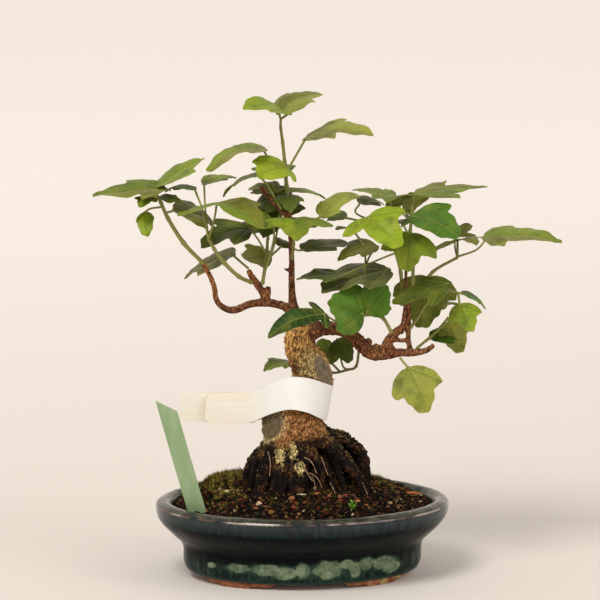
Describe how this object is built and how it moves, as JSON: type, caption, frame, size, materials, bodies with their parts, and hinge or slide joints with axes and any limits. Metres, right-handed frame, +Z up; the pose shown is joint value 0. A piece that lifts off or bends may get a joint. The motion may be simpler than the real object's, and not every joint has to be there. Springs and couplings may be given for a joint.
{
  "type": "potted bonsai tree",
  "caption": "Small trident maple bonsai with exposed roots and three-lobed leaves, in a shallow oval glazed pot on low feet, with a bare stake and a bare band label.",
  "frame": {"origin": "middle of the bounding box's bottom face, on the surface that the pot's feet stand on", "axes": "+Z up, the pot's long axis along X, the front of the tree towards -Y"},
  "size_m": [0.237, 0.1152, 0.2484],
  "materials": {
    "glaze": "gloss",
    "net": "matte",
    "soil": "matte",
    "bark": "matte",
    "leaf": "satin",
    "stake_plastic": "satin",
    "label_plastic": "satin"
  },
  "bodies": {
    "root": {"pot": "glaze", "drain_net_left": "net", "drain_net_right": "net", "soil": "soil", "wood": "bark", "name_stake": "stake_plastic", "trunk_label": "label_plastic", "top_shoot": "leaf", "left_shoot": "leaf", "crossing_shoot": "leaf", "spur_shoot": "leaf", "spur_tip_leaf": "leaf", "cut_branch_leaf": "leaf", "leader_shoot": "leaf", "tall_right_shoot": "leaf", "front_right_shoot": "leaf", "back_right_shoot": "leaf", "inner_shoot": "leaf", "trunk_top_leaf": "leaf", "under_branch_shoot": "leaf", "low_right_shoot": "leaf", "branch_end_shoot": "leaf", "hanging_leaf": "leaf", "far_right_shoot": "leaf"}
  },
  "joints": []
}
